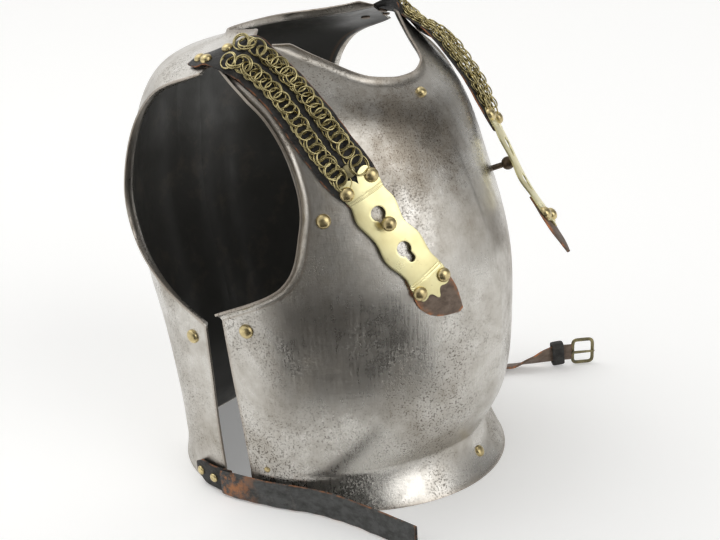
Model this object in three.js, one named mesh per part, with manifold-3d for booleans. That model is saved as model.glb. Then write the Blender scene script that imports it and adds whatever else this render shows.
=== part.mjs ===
// A cavalry cuirass: a steel breastplate and backplate, held together over the shoulders by
// leather straps under brass chain, with a leather belt riveted to the lower corners of the back.
// Millimetres, +Z up. The front faces -Y and the wearer's right side is -X.
// It stands on the lower rims of its two plates, at z = 0. All places below are measured from
// the middle of the gap between the plates; CENTRE moves the whole over the origin at the end.

import * as THREE from 'three';
import { mergeGeometries, mergeVertices } from 'three/addons/utils/BufferGeometryUtils.js';
import Module from 'manifold-3d';

const wasm = await Module();
wasm.setup();

// ---- Driving dimensions ----

const PLATE_WALL = 2.2;
const CLEARANCE = 0.35; // between pieces that touch
const CENTRE = new THREE.Vector3(-49, 30, 0);

// Levels up a plate, from the waist line (0) to the shoulder. Each list below gives the plate's
// measure at those levels: half the width, how far the side edge and the middle of the section
// stand forward of the gap (backward on the backplate), and how high each of them lies. crest is
// the sharpness of the breast's median ridge, or the depth of the groove over the spine.
const LEVELS = [0, 60, 130, 200, 270, 330, 380];

const BREAST = {
  facing: -1,
  halfWidth: [148, 154, 162, 169, 161, 152, 137],
  side: { forward: [9, 8, 6.5, 6, 0, -12, -31], height: [31, 75, 138, 211, 288, 353, 400] },
  middle: { forward: [156, 179, 189, 186, 162, 125, 67], height: [35, 78, 139, 207, 276, 341, 384] },
  crest: [0.17, 0.24, 0.38, 0.44, 0.39, 0.16, 0.04],
  rim: { halfWidth: 146, side: 8.6, middle: 174, crest: 0 },
  edgeAngle: 87, // where the side edge stands, round the section from its middle
  armhole: [[87, 174], [64, 204], [55.5, 252], [54, 290], [59, 338], [71, 376]], // [angle, level]
  neck: [[0, 350], [7, 350.4], [19, 356.5], [30, 374], [44, 395]],
  armLip: { radius: 6, turn: 80 },
  neckLip: { radius: 9, turn: 62 },
};

const BACK = {
  facing: 1,
  halfWidth: [151, 156, 161, 170, 180, 160, 144],
  side: { forward: [9, 8, 6, 2, 9, 0, -1], height: [28, 74, 138, 203, 288, 348, 385] },
  middle: { forward: [132, 133, 146, 162, 160, 131, 10], height: [28, 74, 140, 205, 282, 377, 407] },
  crest: [0.07, 0.08, 0.09, 0.09, 0.08, 0.04, 0],
  rim: { halfWidth: 148, side: 10, middle: 140, crest: 0.04 },
  edgeAngle: 89,
  armhole: [[89, 168], [61, 212], [53.5, 245], [53.5, 289], [61, 342], [69, 370]],
  neck: [[0, 354], [20, 356.5], [30, 373], [39, 386]],
  armLip: { radius: 9, turn: 75 },
  neckLip: { radius: 12, turn: 62 },
};

const SPINE_SPREAD = 0.22; // of the half width
const FLARE_POWER = 1.5; // how late the waist flange turns out
const LEVEL_TO_DEGREE = 1.6; // balances levels against angles where an outline is paced out
const NECK_SHARE = 0.8; // of the armhole's length lies below the neck's lowest point
const LIP_END = { least: 0.12, rise: 7 }; // lips narrow to this share under the straps' ends

// Straps. A route is a list of stops: where the strap's middle line runs, and where it faces.
const STRAP = { wall: 2.4, lift: 1, hug: 150 };
const CHAIN = { links: 24, width: 17, waist: 12, hole: 5.6, wall: 3.6, apart: 20, over: 0.3 };
const BRASS = { wall: 1.5, keyholeRadius: 6.4, slotHalfWidth: 3.4, slotReach: 10 };
const UPPER_RIVETS = 198; // along each route
const PLATE_LENGTH = 104; // between a brass plate's upper and lower rivets
const KEYHOLES = [28.5, 65]; // from the plate's upper rivets
const LEATHER_BEYOND = 15; // how far the chain's leather runs on past the upper rivets

const STUD = { stemRadius: 2.6, reach: 10, headRadius: 6.2 };

const BELT = { width: 25, wall: 3 };
const FREE_BELT = { width: 18, wall: 3 };
const BUCKLE = { width: 30, length: 26, bar: 4, wall: 3 };

// ---- Plain mathematics ----

const radians = THREE.MathUtils.degToRad;
const { lerp } = THREE.MathUtils;

// A smooth curve through values given at rising knots: cubic pieces, sloped by their neighbours.
function smoothThrough(knots, values, x) {
  const last = knots.length - 1;
  let i = 0;
  while (i < last - 1 && x > knots[i + 1]) i += 1;
  const slope = (k) => {
    const [a, b] = [Math.max(k - 1, 0), Math.min(k + 1, last)];
    return (values[b] - values[a]) / (knots[b] - knots[a]);
  };
  const width = knots[i + 1] - knots[i];
  const t = (x - knots[i]) / width;
  return (1 + 2 * t) * (1 - t) ** 2 * values[i] + t * (1 - t) ** 2 * width * slope(i)
    + t * t * (3 - 2 * t) * values[i + 1] + t * t * (t - 1) * width * slope(i + 1);
}

// Running length along a list of points, each an array of numbers.
function runningLength(points, scale = points[0].map(() => 1)) {
  const lengths = [0];
  for (let i = 1; i < points.length; i += 1) {
    const step = points[i].map((value, k) => (value - points[i - 1][k]) * scale[k]);
    lengths.push(lengths[i - 1] + Math.hypot(...step));
  }
  return lengths;
}

// ---- Sheets ----

// The faces of a grid of points, looking along (next row) x (next point in the row).
function gridFaces(rows, flip = false) {
  const corners = [];
  for (let i = 0; i < rows.length - 1; i += 1) {
    for (let j = 0; j < rows[i].length - 1; j += 1) {
      const [a, b, c, d] = [rows[i][j], rows[i + 1][j], rows[i + 1][j + 1], rows[i][j + 1]];
      corners.push(...(flip ? [a, c, b, a, d, c] : [a, b, c, a, c, d]));
    }
  }
  return new THREE.BufferGeometry().setFromPoints(corners);
}

// A closed wall from an open sheet: the sheet is its outer face, and its inner face lies a wall's
// thickness along the inward normals. Nothing reaches below the surface that the piece stands on.
function thicken(sheet, wall) {
  const outer = mergeVertices(sheet, 1e-3);
  outer.computeVertexNormals();
  const { position, normal } = outer.attributes;
  const count = position.count;
  const points = [];
  for (const depth of [0, wall]) {
    for (let i = 0; i < count; i += 1) {
      points.push(
        position.getX(i) - normal.getX(i) * depth,
        position.getY(i) - normal.getY(i) * depth,
        Math.max(position.getZ(i) - normal.getZ(i) * depth, 0),
      );
    }
  }
  const edges = new Map();
  const faces = [];
  for (let i = 0; i < outer.index.count; i += 3) {
    const [a, b, c] = [0, 1, 2].map((k) => outer.index.getX(i + k));
    if (a === b || b === c || c === a) continue;
    faces.push(a, b, c, a + count, c + count, b + count);
    for (const [from, to] of [[a, b], [b, c], [c, a]]) edges.set(`${from},${to}`, [from, to]);
  }
  for (const [from, to] of edges.values()) {
    if (edges.has(`${to},${from}`)) continue;
    faces.push(to, from, from + count, to, from + count, to + count);
  }
  const solid = new THREE.BufferGeometry();
  solid.setAttribute('position', new THREE.Float32BufferAttribute(points, 3));
  solid.setIndex(faces);
  return solid;
}

// ---- Plates ----

// How far forward a section reaches at an angle from its middle: 1 at the middle, 0 at the side.
function reach(facing, angle, crest) {
  const s = Math.abs(Math.sin(angle));
  if (facing < 0) return Math.sqrt(Math.max((1 - s) * (1 + (1 - crest) * s), 0));
  return Math.cos(angle) - crest * Math.exp(-((s / SPINE_SPREAD) ** 2));
}

// A point on a plate's outer face. The angle is in degrees from the median plane, and levels
// from -1 to 0 run up the waist flange from its rim.
function platePoint(plate, angle, level) {
  const at = (list) => smoothThrough(LEVELS, list, Math.max(level, 0));
  const turn = radians(angle);
  const share = reach(plate.facing, turn, at(plate.crest));
  const point = new THREE.Vector3(
    at(plate.halfWidth) * Math.sin(turn),
    plate.facing * lerp(at(plate.side.forward), at(plate.middle.forward), share),
    lerp(at(plate.side.height), at(plate.middle.height), share),
  );
  if (level >= 0) return point;
  const { rim } = plate;
  const spread = (-level) ** FLARE_POWER;
  const rimShare = reach(plate.facing, turn, rim.crest);
  return new THREE.Vector3(
    lerp(point.x, rim.halfWidth * Math.sin(turn), spread),
    lerp(point.y, plate.facing * lerp(rim.side, rim.middle, rimShare), spread),
    point.z * (1 + level),
  );
}

function plateNormal(plate, angle, level) {
  const round = platePoint(plate, angle + 0.1, level).sub(platePoint(plate, angle - 0.1, level));
  const step = level < 0 ? 0.01 : 0.5;
  const up = platePoint(plate, angle, level + step).sub(platePoint(plate, angle, level - step));
  return round.cross(up).normalize().multiplyScalar(-plate.facing);
}

// An outline's angle and level, a share of the way along it. Shares below 0 go on to the
// other side of the median plane.
function alongOutline(outline, share) {
  const knots = runningLength(outline, [1, LEVEL_TO_DEGREE]);
  const x = Math.abs(share) * knots[knots.length - 1];
  const [angle, level] = [0, 1].map((k) => smoothThrough(knots, outline.map((p) => p[k]), x));
  return [share < 0 ? -angle : angle, level];
}

// The turned lip beyond an edge point: an arc that leaves the plate in its own plane and curls
// away from the wearer.
function lipRow(plate, outline, share, lip, side, steps) {
  const low = side < 0 ? Math.max(share - 0.01, 0) : share - 0.01;
  const behind = platePoint(plate, ...alongOutline(outline, low));
  const ahead = platePoint(plate, ...alongOutline(outline, Math.min(share + 0.01, 1)));
  const edge = alongOutline(outline, share);
  const point = platePoint(plate, ...edge);
  const normal = plateNormal(plate, ...edge);
  const outward = ahead.sub(behind).normalize().cross(normal).multiplyScalar(side * plate.facing);
  const radius = lip.radius * Math.min(1, LIP_END.least + LIP_END.rise * (1 - share));
  return Array.from({ length: steps + 1 }, (_, k) => {
    const turn = radians(lip.turn) * (k / steps);
    return point.clone()
      .addScaledVector(outward, radius * Math.sin(turn))
      .addScaledVector(normal, radius * (1 - Math.cos(turn)));
  });
}

const TURNED_SIDES = 10;
const ROWS = { flange: 2, side: 6, armhole: 12, neck: 7 };
const COLUMNS = 9;
const LIP_STEPS = 3;

// One plate: rows ruled from the middle line and the neck to the side edge and the armhole,
// with a lip along the neck and along the armhole, the same on both sides.
function plateSolid(plate) {
  const pit = plate.armhole[0][1];
  const throat = plate.neck[0][1];
  const rows = [];
  const add = (left, right, neckShare, armShare) => rows.push({ left, right, neckShare, armShare });
  for (let k = 0; k < ROWS.flange; k += 1) {
    const level = k / ROWS.flange - 1;
    add([0, level], [plate.edgeAngle, level]);
  }
  for (let k = 0; k < ROWS.side; k += 1) {
    const level = (pit * k) / ROWS.side;
    add([0, level], [plate.edgeAngle, level]);
  }
  const shoulderLevel = alongOutline(plate.armhole, NECK_SHARE)[1];
  for (let k = 0; k < ROWS.armhole; k += 1) {
    const share = (NECK_SHARE * k) / ROWS.armhole;
    const right = alongOutline(plate.armhole, share);
    const rise = (right[1] - pit) / (shoulderLevel - pit);
    add([0, lerp(pit, throat, rise)], right, null, share);
  }
  for (let k = 0; k <= ROWS.neck; k += 1) {
    const share = lerp(NECK_SHARE, 1, k / ROWS.neck);
    add(alongOutline(plate.neck, k / ROWS.neck), alongOutline(plate.armhole, share), k / ROWS.neck, share);
  }
  const body = rows.map(({ left, right }) => Array.from({ length: COLUMNS + 1 }, (_, j) => (
    platePoint(plate, lerp(left[0], right[0], j / COLUMNS), lerp(left[1], right[1], j / COLUMNS))
  )));
  const armLip = rows.filter((row) => row.armShare !== undefined)
    .map((row) => lipRow(plate, plate.armhole, row.armShare, plate.armLip, -1, LIP_STEPS));
  const neckLip = rows.filter((row) => row.neckShare !== undefined && row.neckShare !== null)
    .map((row) => lipRow(plate, plate.neck, row.neckShare, plate.neckLip, 1, LIP_STEPS));
  const flip = plate.facing < 0;
  const sheets = [gridFaces(body, flip), gridFaces(armLip, flip), gridFaces(neckLip, !flip)];
  const mirrored = (rowsOfPoints) => rowsOfPoints
    .map((row) => row.map((point) => new THREE.Vector3(-point.x, point.y, point.z)));
  sheets.push(gridFaces(mirrored(body), !flip));
  sheets.push(gridFaces(mirrored(armLip), !flip));
  sheets.push(gridFaces(mirrored(neckLip), flip));
  return thicken(mergeGeometries(sheets), PLATE_WALL);
}

// ---- Straps ----

// A strap's route: places of the middle line and the ways its outer face looks.
class Route {
  constructor(stops) {
    this.points = stops.map((stop) => stop.at.toArray());
    this.faces = stops.map((stop) => stop.face.toArray());
    this.knots = runningLength(this.points);
    this.length = this.knots[this.knots.length - 1];
  }

  pick(lists, distance) {
    return new THREE.Vector3(...[0, 1, 2].map((k) => (
      smoothThrough(this.knots, lists.map((item) => item[k]), distance)
    )));
  }

  // Where a distance along the route, a step across it and a height over it lie. A hug radius
  // bends the strap's cross-section round what it lies on.
  frame(distance) {
    const along = this.pick(this.points, distance + 0.5).sub(this.pick(this.points, distance - 0.5))
      .normalize();
    const across = this.pick(this.faces, distance).cross(along).normalize();
    const face = along.clone().cross(across);
    return { point: this.pick(this.points, distance), along, across, face };
  }

  place(distance, across, height, hug = Infinity) {
    const frame = this.frame(distance);
    return frame.point
      .addScaledVector(frame.across, across)
      .addScaledVector(frame.face, height - (across * across) / (2 * hug));
  }
}

const ACROSS_STEPS = [-1, -0.5, 0, 0.5, 1];

// A band along a stretch of a route, its underside at a height over it. halfWidth is a function
// of the share of the stretch.
function band(route, from, to, steps, halfWidth, lift, wall, hug) {
  const rows = [];
  for (let i = 0; i <= steps; i += 1) {
    const distance = lerp(from, to, i / steps);
    const half = halfWidth(i / steps);
    rows.push(ACROSS_STEPS.map((step) => route.place(distance, step * half, lift + wall, hug)));
  }
  return thicken(gridFaces(rows), wall);
}

// A row of flat linked rings, as one pierced and scalloped band.
function chainRow(route, from, to, offset, lift, hug) {
  const corners = [];
  const pitch = (to - from) / CHAIN.links;
  const [waist, belly, hole] = [CHAIN.waist / 2, CHAIN.width / 2, CHAIN.hole / 2];
  for (let link = 0; link < CHAIN.links; link += 1) {
    const at = (share, across) => route.place(
      from + (link + share) * pitch, offset + across, lift + CHAIN.wall, hug,
    );
    for (const side of [1, -1]) {
      const outer = [[0, waist], [0.25, belly], [0.75, belly], [1, waist]]
        .map(([share, across]) => at(share, side * across));
      const inner = [[0.16, 0], [0.34, hole], [0.66, hole], [0.84, 0]]
        .map(([share, across]) => at(share, side * across));
      const [start, end] = [at(0, 0), at(1, 0)];
      const faces = [[start, inner[0], outer[0]], [inner[3], end, outer[3]]];
      for (let k = 0; k < 3; k += 1) {
        faces.push([outer[k], inner[k], inner[k + 1]], [outer[k], inner[k + 1], outer[k + 1]]);
      }
      for (const [a, b, c] of faces) corners.push(...(side > 0 ? [a, b, c] : [a, c, b]));
    }
  }
  return thicken(new THREE.BufferGeometry().setFromPoints(corners), CHAIN.wall);
}

const toManifold = (geometry) => {
  const bare = new THREE.BufferGeometry();
  bare.setAttribute('position', geometry.attributes.position);
  if (geometry.index) bare.setIndex(geometry.index);
  const merged = mergeVertices(bare, 1e-4);
  return new wasm.Manifold(new wasm.Mesh({
    numProp: 3,
    vertProperties: new Float32Array(merged.attributes.position.array),
    triVerts: new Uint32Array(merged.index.array),
  }));
};

const fromManifold = (manifold) => {
  const mesh = manifold.getMesh();
  const geometry = new THREE.BufferGeometry();
  geometry.setAttribute('position', new THREE.BufferAttribute(mesh.vertProperties, 3));
  geometry.setIndex(new THREE.BufferAttribute(mesh.triVerts, 1));
  return geometry;
};

// A keyhole cutter, standing on the route: a round hole with a slot running on along the strap.
function keyholeCutter(route, distance, height) {
  const { keyholeRadius: radius, slotHalfWidth: half, slotReach } = BRASS;
  const opening = Math.asin(half / radius);
  const shape = new THREE.Shape();
  shape.absarc(0, 0, radius, opening, 2 * Math.PI - opening, false);
  shape.absarc(slotReach, 0, half, -Math.PI / 2, Math.PI / 2, false);
  const cutter = new THREE.ExtrudeGeometry(shape, { depth: 16, bevelEnabled: false, curveSegments: 9 });
  cutter.translate(0, 0, -8);
  const { point, along, across, face } = route.frame(distance);
  const place = new THREE.Matrix4().makeBasis(along, across, face);
  place.setPosition(point.addScaledVector(face, height));
  return toManifold(cutter.applyMatrix4(place));
}

// ---- Finishes ----

const finish = (color, roughness, metalness) => (
  () => new THREE.MeshStandardMaterial({ color, roughness, metalness })
);
const steel = finish('#b5b0a4', 0.35, 1);
const brass = finish('#b39a4c', 0.35, 1);
const chainBrass = finish('#8d8148', 0.45, 1);
const blackLeather = finish('#2b2a28', 0.7, 0);
const brownLeather = finish('#5d4230', 0.7, 0);
const darkIron = finish('#2c2925', 0.5, 1);

const cuirass = new THREE.Group();
cuirass.position.copy(CENTRE);

function addPiece(name, geometry, material) {
  const mesh = new THREE.Mesh(geometry, material());
  mesh.name = name;
  cuirass.add(mesh);
  return mesh;
}

// A turned piece, its axis standing on a place and pointing the way that place faces.
function addTurned(name, profile, place, face, material) {
  const points = profile.map(([radius, height]) => new THREE.Vector2(radius, height));
  const mesh = addPiece(name, new THREE.LatheGeometry(points, TURNED_SIDES), material);
  mesh.position.copy(place);
  mesh.quaternion.setFromUnitVectors(new THREE.Vector3(0, 1, 0), face);
}

// A round rivet head: a low dome over a short straight edge.
function domeProfile(radius, height) {
  const edge = height * 0.2;
  const arc = [0, 1, 2].map((k) => {
    const turn = (k / 3) * (Math.PI / 2);
    return [radius * Math.cos(turn), edge + (height - edge) * Math.sin(turn)];
  });
  return [[0, 0], [radius, 0], ...arc, [0, height]];
}

function addPlateRivet(name, plate, angle, level, radius, height, lift = CLEARANCE) {
  const face = plateNormal(plate, angle, level);
  const place = platePoint(plate, angle, level).addScaledVector(face, lift);
  addTurned(name, domeProfile(radius, height), place, face, brass);
}

function addStrapRivet(name, route, distance, across, lift, radius, height, hug) {
  const seat = route.frame(distance);
  const face = seat.face.addScaledVector(seat.across, across / hug).normalize();
  const place = route.place(distance, across, lift + CLEARANCE, hug);
  addTurned(name, domeProfile(radius, height), place, face, brass);
}

// ---- The plates and what is riveted to them ----

addPiece('breastplate', plateSolid(BREAST), steel);
addPiece('backplate', plateSolid(BACK), steel);

addPlateRivet('neck_rivet', BREAST, 0, 343, 5, 4.4, 0.8);
addPlateRivet('flange_rivet', BREAST, 3, -0.5, 5.5, 3.4, 0.8);
for (const [hand, side] of [['right', -1], ['left', 1]]) {
  addPlateRivet(`${hand}_breast_arm_rivet`, BREAST, side * 50.6, 261, 6.2, 4.4);
  addPlateRivet(`${hand}_breast_side_rivet`, BREAST, side * 78.8, 168, 6.4, 4.4, 0.5);
  addPlateRivet(`${hand}_breast_corner_rivet`, BREAST, side * 79.7, 5, 2.8, 1.6, 0.5);
  addPlateRivet(`${hand}_back_side_rivet`, BACK, side * 81.8, 151.5, 6.4, 4.4, 0.5);
}

// ---- Shoulder straps ----

function on(plate, angle, level, over = 0) {
  const face = plateNormal(plate, angle, level);
  return { at: platePoint(plate, angle, level).addScaledVector(face, over), face };
}
const stop = (at, face) => ({ at: new THREE.Vector3(...at), face: new THREE.Vector3(...face).normalize() });

// Both straps lie over the shoulder alike. The right one is fastened down the breast; the left one
// is undone and stands away from it.
const shoulderStops = (side) => [
  ...[[51.2, 361], [53.5, 369], [55, 376.5, 0.8]]
    .map(([angle, level, over]) => on(BACK, side * angle, level, over)),
  ...[[57.5, 384.5, 2.5], [54, 377.5, 0.2]]
    .map(([angle, level, over]) => on(BREAST, side * angle, level, over)),
];
const rightRoute = new Route([
  ...shoulderStops(-1),
  ...[[50, 360], [48, 341], [45.5, 321], [42, 303], [38, 286], [34.8, 265], [32.5, 250], [29.5, 234],
    [25, 211], [21.4, 187], [15.6, 164]]
    .map(([angle, level]) => on(BREAST, -angle, level)),
]);
const leftRoute = new Route([
  ...shoulderStops(1),
  stop([107.3, -58.7, 376.2], [0.42, -0.58, 0.7]),
  stop([107.3, -80.4, 355.4], [0.42, -0.64, 0.64]),
  stop([105.4, -99.3, 335.6], [0.41, -0.68, 0.61]),
  stop([101.4, -116.2, 314.6], [0.4, -0.7, 0.59]),
  stop([95.4, -139, 283.8], [0.4, -0.74, 0.54]),
  stop([92.2, -159, 253.3], [0.4, -0.72, 0.57]),
  stop([89, -181.7, 229.1], [0.41, -0.69, 0.6]),
  stop([84, -214.7, 193.1], [0.42, -0.7, 0.58]),
]);

// The rear rivets: how far along both routes, and how far outwards from the middle.
const REAR_RIVETS = { middle: [11, 1], outer: [27, 11], inner: [38, -6] };
const CHAIN_START = 46;
const STACK = STRAP.lift + STRAP.wall + CLEARANCE; // where chain and brass lie over the leather

// Half the width of the brass plate at distances from its upper rivets.
const PLATE_OUTLINE = [[-10, 15], [-5, 17.5], [6, 17.5], [13, 16.6], [26, 19.4], [46, 15.8],
  [64, 19.2], [84, 15.8], [92, 16.8], [104, 17.5], [112, 12], [119, 3]];
// Half the width of the tongue at distances from the plate's lower rivets.
const TONGUE_OUTLINE = [[-20, 13], [-6, 17], [8, 19], [20, 18], [32, 13], [40, 4]];
// Half the width of the leather under the chain, from its rear tip, and back from its front tip.
const REAR_OUTLINE = [[0, 7], [11, 12], [24, 16.5], [38, 19], [60, 22]];
const FRONT_OUTLINE = [[0, 15.5], [6, 17.5], [18, 20.5], [32, 22], [60, 22.5]];

const outlineWidth = (outline, distance) => {
  const knots = outline.map(([at]) => at);
  const clamped = Math.min(Math.max(distance, knots[0]), knots[knots.length - 1]);
  return smoothThrough(knots, outline.map(([, half]) => half), clamped);
};

function addStrap(hand, route) {
  const name = (piece) => `${hand}_strap_${piece}`;
  const { hug, wall, lift } = STRAP;
  const lowerRivets = UPPER_RIVETS + PLATE_LENGTH;
  const leatherEnd = UPPER_RIVETS + LEATHER_BEYOND;
  const leatherHalf = (share) => {
    const distance = share * leatherEnd;
    const fromFront = leatherEnd - distance;
    return Math.min(outlineWidth(REAR_OUTLINE, distance), outlineWidth(FRONT_OUTLINE, fromFront));
  };
  addPiece(name('leather'), band(route, 0, leatherEnd, 36, leatherHalf, lift, wall, hug), blackLeather);
  for (const [row, side] of [['outer', -1], ['inner', 1]]) {
    const across = side * (hand === 'right' ? 1 : -1) * (CHAIN.apart / 2);
    const links = chainRow(route, CHAIN_START, UPPER_RIVETS - 11, across, STACK + CHAIN.over, hug);
    addPiece(name(`${row}_chain`), links, chainBrass);
  }
  const [plateFrom, plateTo] = [PLATE_OUTLINE[0][0], PLATE_OUTLINE[PLATE_OUTLINE.length - 1][0]];
  const plateHalf = (share) => outlineWidth(PLATE_OUTLINE, lerp(plateFrom, plateTo, share));
  let plate = toManifold(
    band(route, UPPER_RIVETS + plateFrom, UPPER_RIVETS + plateTo, 22, plateHalf, STACK, BRASS.wall, hug),
  );
  for (const distance of KEYHOLES) {
    plate = plate.subtract(keyholeCutter(route, UPPER_RIVETS + distance, STACK));
  }
  addPiece(name('plate'), fromManifold(plate), brass);
  const [tongueFrom, tongueTo] = [TONGUE_OUTLINE[0][0], TONGUE_OUTLINE[TONGUE_OUTLINE.length - 1][0]];
  const tongueHalf = (share) => outlineWidth(TONGUE_OUTLINE, lerp(tongueFrom, tongueTo, share));
  addPiece(
    name('tongue'),
    band(route, lowerRivets + tongueFrom, lowerRivets + tongueTo, 12, tongueHalf, lift, wall, hug),
    brownLeather,
  );
  const over = STACK + BRASS.wall;
  for (const [row, distance] of [['upper', UPPER_RIVETS], ['lower', lowerRivets]]) {
    addStrapRivet(name(`${row}_outer_rivet`), route, distance, -13, over, 6.2, 5, hug);
    addStrapRivet(name(`${row}_inner_rivet`), route, distance, 13, over, 6.2, 5, hug);
  }
  const outward = hand === 'right' ? -1 : 1;
  for (const [place, [distance, across]] of Object.entries(REAR_RIVETS)) {
    const seat = lift + wall + 0.3;
    addStrapRivet(name(`rear_${place}_rivet`), route, distance, outward * across, seat, 5, 4, hug);
  }
}

addStrap('right', rightRoute);
addStrap('left', leftRoute);

// The studs that the keyholes drop over, one on each side of the breast.
const studProfile = [[0, 0], [STUD.stemRadius, 0], [STUD.stemRadius, STUD.reach],
  ...[-50, -20, 10, 40, 65].map((turn) => [
    STUD.headRadius * Math.cos(radians(turn)),
    STUD.reach + STUD.headRadius * (Math.sin(radians(turn)) + 0.8),
  ]), [0, STUD.reach + STUD.headRadius * 1.8]];
for (const [hand, side, material] of [['right', -1, brass], ['left', 1, darkIron]]) {
  const seat = rightRoute.frame(UPPER_RIVETS + KEYHOLES[0] + BRASS.slotReach);
  const place = seat.point.clone().addScaledVector(seat.face, 0.6);
  const mirror = new THREE.Vector3(-side, 1, 1);
  place.multiply(mirror);
  addTurned(`${hand}_stud`, studProfile, place, seat.face.clone().multiply(mirror), material);
}

// ---- Waist belt ----

// Both ends run from the back's lower corners along the floor. The right end stands on its edge
// beside the breast; the left end lies over on its side and stands up again at its buckle.
const cornerStops = (side) => [70, 75, 80, 85].map((angle) => on(BACK, side * angle, -0.5));
const rightBelt = new Route([
  ...cornerStops(-1),
  stop([-149.5, 2, 14], [-1, -0.02, 0]),
  stop([-143.5, -38, 13.5], [-0.99, -0.12, 0]),
  stop([-134, -76, 13.5], [-0.98, -0.18, 0]),
  stop([-131, -106, 13.5], [-1, -0.08, 0]),
  stop([-133, -148, 13.5], [-1, 0.04, 0]),
  stop([-137, -190, 13.5], [-0.99, 0.1, 0]),
]);
const leftBelt = new Route([
  ...cornerStops(1),
  stop([150, 2, 13], [1, -0.1, 0.05]),
  stop([158, -28, 11], [0.9, 0.35, 0.25]),
  stop([181, -56, 6], [0.5, 0.45, 0.74]),
  stop([206, -84, 2], [0.16, 0.16, 0.97]),
  stop([222, -104, 8], [0.5, 0.5, 0.7]),
  stop([237, -121, 14.6], [0.7, 0.7, 0.1]),
  stop([251, -136, 15.4], [0.71, 0.71, 0]),
  stop([268, -154, 15.4], [0.71, 0.71, 0]),
]);

const TAB_LENGTH = 50;
const tabHalf = (share) => (BELT.width / 2) * Math.min(1, 0.45 + share * 2.2);
const straightHalf = (width) => () => width / 2;
const BELT_LIFT = 1.2;
const STRAP_LIFT = BELT_LIFT + BELT.wall + CLEARANCE;

addPiece(
  'right_belt_tab',
  band(rightBelt, 2, TAB_LENGTH, 8, tabHalf, BELT_LIFT, BELT.wall),
  blackLeather,
);
addPiece(
  'right_belt_strap',
  band(rightBelt, TAB_LENGTH - 9, rightBelt.length, 26, straightHalf(BELT.width), STRAP_LIFT, BELT.wall),
  blackLeather,
);
const strapEnd = leftBelt.length - BUCKLE.length;
addPiece(
  'left_belt_strap',
  band(leftBelt, 2, strapEnd - 3, 34, straightHalf(FREE_BELT.width), BELT_LIFT, FREE_BELT.wall),
  brownLeather,
);
for (const [hand, route, wall] of [['right', rightBelt, BELT.wall], ['left', leftBelt, FREE_BELT.wall]]) {
  addStrapRivet(`${hand}_belt_rear_rivet`, route, 11, 0, BELT_LIFT + wall, 4.4, 3, Infinity);
  addStrapRivet(`${hand}_belt_front_rivet`, route, 30, 0, BELT_LIFT + wall, 4.4, 3, Infinity);
}

// A flat outline with a window in it, both centred rectangles with rounded corners.
function windowShape(length, width, bar, corner) {
  const rectangle = (path, halfLength, halfWidth, radius) => {
    const [x, y] = [halfLength - radius, halfWidth - radius];
    path.absarc(x, y, radius, 0, Math.PI / 2, false);
    path.absarc(-x, y, radius, Math.PI / 2, Math.PI, false);
    path.absarc(-x, -y, radius, Math.PI, 1.5 * Math.PI, false);
    path.absarc(x, -y, radius, 1.5 * Math.PI, 2 * Math.PI, false);
    return path.closePath();
  };
  const shape = rectangle(new THREE.Shape(), length / 2, width / 2, corner);
  shape.holes.push(rectangle(new THREE.Path(), length / 2 - bar, width / 2 - bar, corner / 2));
  return shape;
}

// The buckle's own frame: along the strap, across it, and the way its face looks.
const buckleSeat = leftBelt.frame(leftBelt.length - BUCKLE.length / 2);
const buckleMiddle = leftBelt.place(
  leftBelt.length - BUCKLE.length / 2, 0, BELT_LIFT + FREE_BELT.wall / 2,
);
const buckleTurn = new THREE.Matrix4()
  .makeBasis(buckleSeat.along, buckleSeat.across, buckleSeat.face).setPosition(buckleMiddle);
const extrude = (shape, depth) => {
  const options = { depth, bevelEnabled: false, curveSegments: 3 };
  return new THREE.ExtrudeGeometry(shape, options).translate(0, 0, -depth / 2);
};
const frameShape = windowShape(BUCKLE.length, BUCKLE.width, BUCKLE.bar, 3);
addPiece('buckle_frame', extrude(frameShape, BUCKLE.wall).applyMatrix4(buckleTurn), brass);
const prong = new THREE.CylinderGeometry(1.3, 1.3, BUCKLE.length - 2, 8).rotateZ(Math.PI / 2)
  .translate(0, 0, -(BUCKLE.wall / 2 + 1.3 + CLEARANCE));
addPiece('buckle_prong', prong.applyMatrix4(buckleTurn), brass);

// The keeper, a leather sleeve round the strap just behind the buckle.
const KEEPER = { length: 13, wall: 2, behind: 15, play: 2.6 };
const keeperShape = windowShape(
  FREE_BELT.wall + KEEPER.play + 2 * KEEPER.wall,
  FREE_BELT.width + 2 * KEEPER.play + 2 * KEEPER.wall,
  KEEPER.wall,
  1,
);
const keeperSeat = leftBelt.frame(strapEnd - KEEPER.behind);
const keeperMiddle = leftBelt.place(strapEnd - KEEPER.behind, 0, BELT_LIFT + FREE_BELT.wall / 2);
const keeperTurn = new THREE.Matrix4().makeBasis(
  keeperSeat.face, keeperSeat.across.clone().negate(), keeperSeat.along,
);
keeperTurn.setPosition(keeperMiddle);
addPiece('belt_keeper', extrude(keeperShape, KEEPER.length).applyMatrix4(keeperTurn), blackLeather);

export default cuirass;
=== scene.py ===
"""A cavalry cuirass on a pale floor: steel breastplate and backplate, brass chain shoulder straps
with scalloped brass end plates, and a leather waist belt riveted to the back's lower corners.

Every shape below is worked out in millimetres from the middle of the gap between the plates, with
+Z up and the chest facing -Y, and CENTRE carries it into the row frame.
"""

import bmesh
import bpy
import numpy as np
from mathutils import Matrix


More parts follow.
